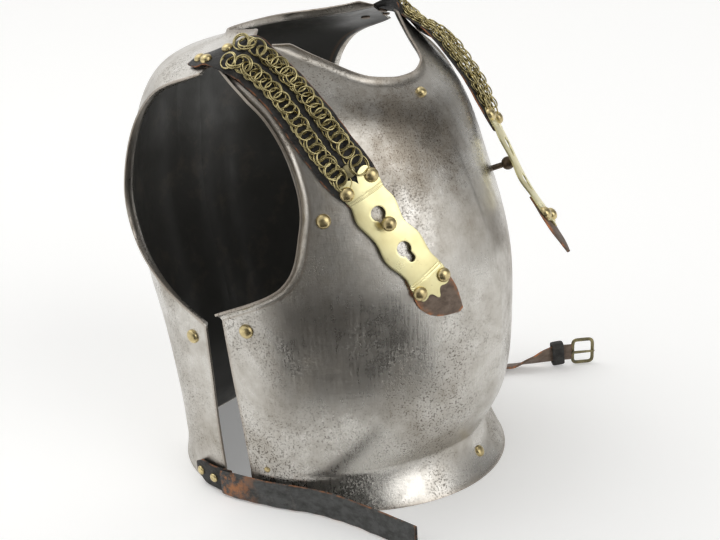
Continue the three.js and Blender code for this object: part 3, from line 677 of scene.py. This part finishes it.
def worn_leather(name, face, cracked, scuffed, edge, edge_from):
    """Old leather: a face colour with cracks and scuffs, and fibres showing where the edges are
    rubbed through. edge_from is how near the edge, on the wear scale, the rubbing begins."""
    f = Finish(name, Specular_IOR_Level=0.35)
    grain = f.noise(700, 4, 0.6)
    scuffs = f.band(f.noise(48, 6, 0.75), 0.56, 0.7)
    creases = f.band(f.noise(90, 3, 0.7, stretch=(1, 1, 1.6)), 0.4, 0.65)
    color = f.mix(creases, face, cracked)
    color = f.mix(f.times(scuffs, 0.6), color, scuffed)
    rubbed = f.times(f.band(f.wear(), edge_from, 0.98), f.band(f.noise(75, 5, 0.7), 0.45, 0.6))
    color = f.mix(rubbed, color, edge)
    rough = f.band(grain, 0.3, 0.7, 0.48, 0.72)
    normal = f.relief(f.add(creases, scuffs), 0.0003)
    return f.finish(color, rough, f.relief(grain, 0.00012, normal))


steel, paint, brass = aged_steel(), black_paint(), pale_brass()
chain_brass = toned_metal("chain_brass", (0.68, 0.59, 0.31), (0.26, 0.22, 0.1), 190, (0.17, 0.36), 0.0001)
head_brass = toned_metal("head_brass", (0.72, 0.6, 0.32), (0.44, 0.35, 0.18), 130, (0.22, 0.4), 0.00012)
aged_brass = toned_metal("aged_brass", (0.3, 0.26, 0.14), (0.07, 0.065, 0.045), 130, (0.26, 0.46), 0.00015)
iron = toned_metal("dark_iron", (0.1, 0.08, 0.065), (0.22, 0.16, 0.11), 150, (0.35, 0.6), 0.0002)
black_leather = worn_leather("black_leather", (0.034, 0.033, 0.031), (0.014, 0.013, 0.012),
                             (0.07, 0.062, 0.055), (0.34, 0.13, 0.05), 0.72)
grey_leather = worn_leather("grey_leather", (0.085, 0.087, 0.085), (0.04, 0.04, 0.038),
                            (0.16, 0.15, 0.14), (0.4, 0.17, 0.07), 0.6)
brown_leather = worn_leather("brown_leather", (0.17, 0.125, 0.095), (0.1, 0.07, 0.05),
                             (0.26, 0.2, 0.16), (0.55, 0.2, 0.07), 0.12)

# ---- The plates ----

plate_piece("breastplate_steel", BREAST, "breastplate")
plate_piece("backplate_steel", BACK, "backplate")


def plate_rivet(node, plate, angle, level, radius, height):
    """A domed brass head that stands on a plate."""
    point, face = on(plate, angle, level)
    turned(f"{node}_head", dome(radius, height), point, face, head_brass, node)


plate_rivet("neck_rivet", BREAST, 0, 343, 5, 4.4)
plate_rivet("flange_rivet", BREAST, 3, -0.5, 5.5, 3.4)
for hand, side in (("right", -1), ("left", 1)):
    plate_rivet(f"{hand}_breast_arm_rivet", BREAST, side * 50.6, 261, 6.2, 4.4)
    plate_rivet(f"{hand}_breast_side_rivet", BREAST, side * 78.8, 168, 6.4, 4.4)
    plate_rivet(f"{hand}_breast_corner_rivet", BREAST, side * 79.7, 5, 2.8, 1.6)
    plate_rivet(f"{hand}_back_side_rivet", BACK, side * 81.8, 151.5, 6.4, 4.4)

# ---- The shoulder straps ----

REAR_OUTLINE = [[0, 7], [11, 12], [24, 16.5], [38, 19], [60, 22]]
FRONT_OUTLINE = [[0, 15.5], [6, 17.5], [18, 20.5], [32, 22], [60, 22.5]]
TONGUE_OUTLINE = [[-20, 13], [-6, 17], [8, 19], [20, 17], [32, 9.5], [40, 3]]
PLATE_OUTLINE = [[-10, 15], [-5, 17.5], [6, 17.5], [13, 16.6], [26, 19.4], [46, 15.8],
                 [64, 19.2], [84, 15.8], [92, 16.8], [104, 17.5], [112, 12], [119, 3]]
# Where the brass plate's two ends lie, at shares of its half width from its middle outwards.
TOP_EDGE = [[0, -0.8], [0.09, -4.6], [0.22, -7.4], [0.42, -9.2], [0.7, -9.4], [0.88, -7], [1, -2.5]]
FOOT_EDGE = [[0, 117.6], [0.07, 116.8], [0.2, 112], [0.36, 110.2], [0.55, 111.4], [0.75, 111.8],
             [0.9, 109.6], [1, 104.5]]
GROOVES, GROOVE_DEPTH, GROOVE_WIDTH = (9.2, 11.2, 93.6, 95.6), 0.45, 0.55


def tipped(a, b, angle):
    """Every ring's points turned in the plane of two coordinates, by an angle for each ring."""
    c, s = np.cos(angle)[:, None, None], np.sin(angle)[:, None, None]
    return a * c - b * s, a * s + b * c


def rings(name, route, start, end, across, lift, node, slack=0.0, stretch=0.0):
    """A row of twin rings. Each ring is a torus; twins stand TWIN_APART from each other along their
    shared axis, and each pair leans about the row's line, one way and the next the other, so that
    neighbours pass through one another. slack lifts the row off its strap as a half sine. stretch
    opens the row towards its front end: a pair at share u sits at (1 - stretch) u + stretch u^9,
    and its rings are wider by 2.4 stretch u^9."""
    index = np.repeat(np.arange(LINKS), 2)
    twin = np.tile([-0.5, 0.5], LINKS)
    share = (index + 0.5) / LINKS
    opening = stretch * share ** 9
    lean = np.radians(RING_TILT * np.where(index % 2, -1, 1) + RNG.normal(0, 3.0, len(index)))
    sway = np.radians(RNG.normal(0, 4.0, len(index)))
    radius = RING_RADIUS * (1 + 2.4 * opening) + RNG.normal(0, 0.15, len(index))
    offset = across + RNG.normal(0, 0.35, len(index))
    turn, round_wire = full_turn(RING_STEPS)[:, None], full_turn(WIRE_STEPS)
    out = radius[:, None, None] + WIRE_RADIUS * np.cos(round_wire)
    x, y = out * np.cos(turn), out * np.sin(turn)
    z = WIRE_RADIUS * np.sin(round_wire) + (twin * TWIN_APART)[:, None, None]
    y, z = tipped(y, z, lean)
    x, z = tipped(x, z, sway)
    seat = lerp(start, end, (1 - stretch) * share + opening) + twin * 0.9
    middle = route.place(seat, offset, lift + slack * np.sin(np.pi * share) ** 0.8, HUG)
    _, along, side, face = route.frame(seat)
    points = sum(step[..., None] * axis[:, None, None]
                 for step, axis in ((x, along), (y, side), (z, face))) + middle[:, None, None]
    first = np.arange(len(index)) * RING_STEPS * WIRE_STEPS
    quads = grid_quads(RING_STEPS, WIRE_STEPS, wrap=True, closed=True) + first[:, None, None]
    build(name, points, quads.reshape(-1, 4).tolist(), [chain_brass], [node])


def brass_plate(name, route, rivets, node):
    """The scalloped end plate as a sheet: stretches ruled between its two sides, and round each
    keyhole a ring of quads that runs from the keyhole's edge out to its stretch's border. The
    grooves are dips of depth exp(-((d - groove) / width)^2) in its height."""
    cells, across_steps, side_steps = [(14, 50), (50, 88)], 24, 30
    half = lambda d: outline_width(PLATE_OUTLINE, d)
    s = np.linspace(-1, 1, across_steps + 1)
    start, foot = (outline_width(edge, np.abs(s)) for edge in (TOP_EDGE, FOOT_EDGE))
    sheets = []
    for low, high, rows in ((start, cells[0][0], 60), (cells[1][1], foot, 70)):
        d = lerp(low, high, np.linspace(0, 1, rows + 1)[:, None])
        sheets.append((d, s * np.where((d < 0) | (d > PLATE_LENGTH), PLATE_HALF, half(d)), False))
    t, u = np.linspace(0, 1, side_steps + 1)[:-1], s[:-1]
    border_s = np.concatenate([u, np.ones_like(t), -u, -np.ones_like(t)])
    out = np.linspace(0, 1, 9)[:, None]
    for (low, high), hole in zip(cells, KEYHOLES):
        border_d = np.concatenate([np.full_like(u, high), lerp(high, low, t), np.full_like(u, low),
                                   lerp(low, high, t)])
        border_a = border_s * half(border_d)
        edge_d, edge_a = keyhole_at(np.arctan2(border_a, border_d - hole - KEYHOLE_MIDDLE))
        sheets.append((lerp(edge_d + hole, border_d, out), lerp(edge_a, border_a, out), True))
    points, faces, first = [], [], 0
    for d, a, ring in sheets:
        dip = sum(GROOVE_DEPTH * np.exp(-((d - groove) / GROOVE_WIDTH) ** 2) for groove in GROOVES)
        points.append(route.place(rivets + d, a, STACK + END_PLATE_WALL - dip, HUG).reshape(-1, 3))
        faces.append(grid_quads(*d.shape, first, wrap=ring, flip=ring))
        first += d.size
    piece = build(name, np.concatenate(points), np.concatenate(faces).tolist(), [brass], [node])
    face_outwards(piece, join=2e-6, outward=route.frame(rivets + 40)[3])
    thicken(piece, END_PLATE_WALL - 0.1)
    ease_edges(piece, 0.25)


def keyhole_at(bearing):
    """The keyhole's edge at bearings from a point between its circle and its slot: the farthest of
    the circle's edge, the slot's round end and the slot's straight sides."""
    c, s = np.cos(bearing), np.sin(bearing)
    circle = (np.sqrt(np.maximum(KEYHOLE_RADIUS ** 2 - (KEYHOLE_MIDDLE * s) ** 2, 0))
              - KEYHOLE_MIDDLE * c)
    gap = SLOT_REACH - KEYHOLE_MIDDLE
    under = SLOT_HALF ** 2 - (gap * s) ** 2
    round_end = np.where((under > 0) & (c > 0), gap * c + np.sqrt(np.maximum(under, 0)), 0)
    straight = np.minimum(SLOT_HALF / np.maximum(np.abs(s), 1e-6), gap / np.maximum(c, 1e-6))
    straight = np.where(c > 0, straight, 0)
    far = np.maximum(circle, np.maximum(round_end, straight))
    return KEYHOLE_MIDDLE + far * c, far * s


def strap_rivet(node, route, distance, across, lift, size, hug):
    """A domed brass head that stands on a strap, tipped as the strap hugs what it lies on."""
    _, _, side, face = route.frame(distance)
    face = unit(face + side * across / hug)
    place = route.place(distance, across, lift, hug)
    turned(f"{node}_head", dome(*size), place, face, head_brass, node)


def shoulder_strap(hand, route):
    """A shoulder strap: black leather under two rows of rings, the brass plate with its tongue,
    and all the rivets."""
    inward = 1 if hand == "right" else -1
    upper, lower, leather_end = UPPER_RIVETS, UPPER_RIVETS + PLATE_LENGTH, UPPER_RIVETS + LEATHER_BEYOND
    name = lambda piece: f"{hand}_strap_{piece}"
    leather_half = lambda d: np.minimum(outline_width(REAR_OUTLINE, d),
                                        outline_width(FRONT_OUTLINE, leather_end - d))
    strap_band(name("underlay"), route, 0, leather_end, leather_half, STRAP_LIFT, STRAP_WALL,
               black_leather, name("leather"), HUG)
    for row, side in (("outer", -1), ("inner", 1)):
        slack = 5.0 if (hand, row) == ("left", "outer") else 0.6
        stretch = 0.1 if (hand, row) == ("right", "inner") else 0.0
        chain_start = CHAIN_START + (2 if row == "inner" else -1)
        rings(name(f"{row}_rings"), route, chain_start, upper - 7, side * inward * ROWS_APART / 2,
              STACK + 1.9, name(f"{row}_chain"), slack, stretch)
    brass_plate(name("end_plate"), route, upper, name("plate"))
    tongue_half = lambda d: outline_width(TONGUE_OUTLINE, d - lower)
    tongue_bow = lambda d: inward * 7 * np.clip((d - lower - 8) / 32, 0, 1) ** 1.6
    strap_band(name("tongue_leather"), route, lower - 20, lower + 40, tongue_half, STRAP_LIFT,
               STRAP_WALL, brown_leather, name("tongue"), HUG, steps=60, bow=tongue_bow)
    for row, distance in (("upper", upper), ("lower", lower)):
        for place, across in (("outer", -END_RIVETS_ACROSS), ("inner", END_RIVETS_ACROSS)):
            strap_rivet(name(f"{row}_{place}_rivet"), route, distance, across,
                        STACK + END_PLATE_WALL, END_HEAD, HUG)
    for row, (distance, outwards) in REAR_RIVETS.items():
        node, across, face = name(f"rear_{row}_rivet"), -inward * outwards, route.frame(distance)[3]
        strap_rivet(node, route, distance, across, STRAP_LIFT + STRAP_WALL, REAR_HEAD, HUG)
        turned(name(f"rear_{row}_tail"), dome(*REAR_TAIL), route.place(distance, across, -PLATE_WALL, HUG),
               -face, iron, node)
    turned(name("lobe_disc"), dome(*LOBE_DISC), route.place(upper - 14, 0, STACK + 2.2, HUG),
           route.frame(upper - 14)[3], aged_brass, name("plate"))


shoulder_strap("right", right_route)
shoulder_strap("left", left_route)

STUD_HEAD, STUD_SHANK, STUD_LENGTH = 6.2, 2.6, 10
bend = np.radians(np.linspace(-58, 84, 22))
ball = np.stack([STUD_HEAD * np.cos(bend), STUD_LENGTH + STUD_HEAD * (np.sin(bend) + 0.8)], -1)
stud_profile = [(0, -1), (STUD_SHANK, -1), (STUD_SHANK, STUD_LENGTH), *ball.tolist(),
                (0, STUD_LENGTH + STUD_HEAD * 1.8)]
seat, _, _, seat_face = right_route.frame(UPPER_RIVETS + KEYHOLES[0] + SLOT_REACH)
for hand, side, material, slot in (("right", -1, head_brass, "brass"), ("left", 1, iron, "stud_iron")):
    mirror = np.array([-side, 1, 1])
    turned(f"{hand}_stud_turned", stud_profile, seat * mirror, seat_face * mirror, material,
           f"{hand}_stud")

# ---- The waist belt ----

TAB_LENGTH = 50
STRAP_OVER_TAB = BELT_LIFT + BELT_WALL + LAYER_GAP
BUCKLE_LENGTH, BUCKLE_WIDTH = 26, 30
# The tab widens from 0.45 of the belt's width to all of it in its first 12 mm.
tab_half = lambda d: BELT_WIDTH / 2 * np.minimum(1, 0.45 + (d - 2) / (TAB_LENGTH - 2) * 2.2)
strap_band("right_belt_tab_leather", right_belt, 2, TAB_LENGTH, tab_half, BELT_LIFT, BELT_WALL,
           black_leather, "right_belt_tab")
strap_band("right_belt_leather", right_belt, TAB_LENGTH - 9, right_belt.length,
           lambda d: BELT_WIDTH / 2, STRAP_OVER_TAB, BELT_WALL, grey_leather, "right_belt_strap",
           fray=62)
strap_end = left_belt.length - BUCKLE_LENGTH
strap_band("left_belt_leather", left_belt, 2, strap_end + 1, lambda d: FREE_BELT_WIDTH / 2,
           BELT_LIFT, BELT_WALL, brown_leather, "left_belt_strap")
for hand, route in (("right", right_belt), ("left", left_belt)):
    for place, distance in (("rear", 11), ("front", 30)):
        strap_rivet(f"{hand}_belt_{place}_rivet", route, distance, 0, BELT_LIFT + BELT_WALL, BELT_HEAD,
                    np.inf)


def loop(name, route, seat, lift, half_along, half_across, corner, thick, wide, material, node,
         upright=False):
    """A rod bent into a closed rounded rectangle, |x|^n + |y|^n = 1 scaled to its half sizes, in the
    route's own plane, or across it when upright. Its section, thick by wide, goes as the cosine one
    way and as the sine's 0.6th power the other, which flattens its wide ends."""
    count, around = 96, 14
    turn, section = full_turn(count), full_turn(around)
    x = half_along * signed_power(np.cos(turn), 2 / corner)
    y = half_across * signed_power(np.sin(turn), 2 / corner)
    path = np.stack([x, y], -1)
    tangent = unit(np.roll(path, -1, 0) - np.roll(path, 1, 0))
    outward = np.stack([tangent[:, 1], -tangent[:, 0]], -1)
    push = thick / 2 * np.cos(section)
    a = path[:, None, 0] + outward[:, None, 0] * push
    b = path[:, None, 1] + outward[:, None, 1] * push
    h = np.broadcast_to(wide / 2 * signed_power(np.sin(section), 0.6), a.shape)
    middle, along, side, face = route.frame(seat)
    axes = np.array([face, side, along] if upright else [along, side, face])
    points = middle + face * lift + np.stack([a, b, h], -1) @ axes
    quads = grid_quads(count, around, wrap=True, closed=True).tolist()
    face_outwards(build(name, points, quads, [material], [node]))


middle = BELT_LIFT + BELT_WALL / 2
buckle_seat = left_belt.length - BUCKLE_LENGTH / 2
loop("buckle_frame_brass", left_belt, buckle_seat, middle, BUCKLE_LENGTH / 2 - 2, BUCKLE_WIDTH / 2 - 2,
     6, 3.6, 3.2, aged_brass, "buckle_frame")
loop("belt_keeper_leather", left_belt, strap_end - 15, middle, BELT_WALL / 2 + 3.2,
     FREE_BELT_WIDTH / 2 + 3.2, 5, 2.0, 13, black_leather, "belt_keeper", upright=True)

# The prong is a round rod that tapers to its tip, and its ends close in by an eighth power.
PRONG_ROWS, PRONG_STEPS = 40, 14
point, along, side, face = left_belt.frame(buckle_seat)
advance = np.linspace(-12, 12.5, PRONG_ROWS)
prong_radius = 1.5 * np.sqrt(np.clip(1 - ((advance - 0.2) / 12.8) ** 8, 0.02, 1))
prong_radius = prong_radius * np.linspace(1.1, 0.75, PRONG_ROWS)
turn = full_turn(PRONG_STEPS)[:, None]
spoke = np.cos(turn) * side + np.sin(turn) * face
prong = point + face * (middle - 3.2) + advance[:, None] * along
prong = prong[:, None] + prong_radius[:, None, None] * spoke
build("buckle_prong_brass", prong, rod_faces(PRONG_ROWS, PRONG_STEPS), [aged_brass], ["buckle_prong"])

# ---- Floor, light and camera ----

def stage_sheet(name, points, faces, cover):
    """A bare sheet of the stage, with its points in metres."""
    mesh = bpy.data.meshes.new(name)
    mesh.from_pydata(points, [], faces)
    mesh.materials.append(cover.material)
    return new_object(name, mesh)


FLOOR_REACH, FLOOR_HEIGHT = 9, -0.0003
floor_corners = [(x * FLOOR_REACH, y * FLOOR_REACH, FLOOR_HEIGHT)
                 for x, y in ((-1, -1), (1, -1), (1, 1), (-1, 1))]
floor = stage_sheet("floor", floor_corners, [(0, 1, 2, 3)], Finish(
    "pale_floor", Base_Color=(0.93, 0.93, 0.925, 1), Roughness=0.9, Specular_IOR_Level=0.1,
    Emission_Color=(1, 1, 0.99, 1), Emission_Strength=0.2))

# A black flag lies on the floor before the chest, out of the way of the view, and only darkens what
# the steel mirrors there: a flat ring sector, from 0.33 m to 3 m out.
swing = np.radians(np.linspace(-90, -18, 25))
arms = toward(swing, 0 * swing)
flag_points = np.concatenate([0.33 * arms, 3.0 * arms]) + [0, 0, 0.004]
flag = stage_sheet("black_flag", flag_points.tolist(), grid_quads(2, 25).tolist(), Finish(
    "black_cloth", Base_Color=(0.06, 0.055, 0.05, 1), Roughness=0.9))
flag.visible_camera = flag.visible_diffuse = flag.visible_shadow = False


def standing(right, up, back, at):
    """The matrix that stands a camera or a lamp at a place, looking the other way from back."""
    return Matrix([[*row, place] for row, place in zip(np.stack([right, up, back], 1), at)]
                  + [[0, 0, 0, 1]])


AZIMUTH, ELEVATION, ROLL = np.radians([-53.98, 20.8, -2.53])
back = toward(AZIMUTH, ELEVATION)
level_right = np.array([np.cos(AZIMUTH), np.sin(AZIMUTH), 0])
level_up = np.cross(back, level_right)
right = np.cos(ROLL) * level_right + np.sin(ROLL) * level_up
up = -np.sin(ROLL) * level_right + np.cos(ROLL) * level_up
stand = (np.array([-916.89, -706.14, 607.7]) + CENTRE) / 1000
camera = new_object("camera", bpy.data.cameras.new("camera"))
camera.data.lens = 65.07
camera.data.sensor_width = 36
camera.data.clip_start = 0.01
camera.data.clip_end = 60
camera.matrix_world = standing(right, up, back, stand)
bpy.context.scene.camera = camera

world = bpy.data.worlds.new("studio")
bpy.context.scene.world = world
world.use_nodes = True
sky = world.node_tree
direction = sky.nodes.new("ShaderNodeTexCoord").outputs["Generated"]


def nearness(azimuth, elevation, near, far):
    """1 inside an angle near a direction, falling smoothly to 0 at an angle far from it."""
    middle = tuple(toward(*np.radians([azimuth, elevation])))
    cosine = add_node(sky, "ShaderNodeVectorMath", {0: direction, 1: middle}, operation="DOT_PRODUCT")
    return add_node(sky, "ShaderNodeMapRange", {
        "Value": cosine.outputs["Value"], "From Min": np.cos(np.radians(far)),
        "From Max": np.cos(np.radians(near))}, interpolation_type="SMOOTHSTEP").outputs["Result"]


# The studio: an even room, brightened or dimmed round five directions. Each is an azimuth, an
# elevation, the angle up to which it is whole, the angle where it ends, and how much it adds.
ROOM = 0.55
LAMPS = [(-6, 27, 8, 31, 1.7), (-140, 50, 25, 60, 0.25),
         (140, 45, 25, 60, 0.55), (-58, -4, 30, 50, -0.49), (72, 50, 26, 56, -0.36)]
strength = ROOM
for *patch, more in LAMPS:
    strength = add_node(sky, "ShaderNodeMath", {0: nearness(*patch), 1: more, 2: strength},
                        operation="MULTIPLY_ADD").outputs[0]
sky.links.new(strength, sky.nodes["Background"].inputs["Strength"])
sky.nodes["Background"].inputs["Color"].default_value = (1.0, 0.995, 0.985, 1)

# The key light is a square softbox above and behind, in metres and watts.
key_light = bpy.data.lights.new("key", "AREA")
key_light.shape = "SQUARE"
key_light.size = 1.5
key_light.energy = 8
key_stand = np.array([-0.4, 1.3, 2.7])
away = unit(key_stand - [0, 0, 0.2])
level = unit(np.cross([0, 0, 1.0], away))
new_object("key", key_light).matrix_world = standing(level, np.cross(away, level), away, key_stand)
bpy.context.scene.view_settings.view_transform = "Standard"
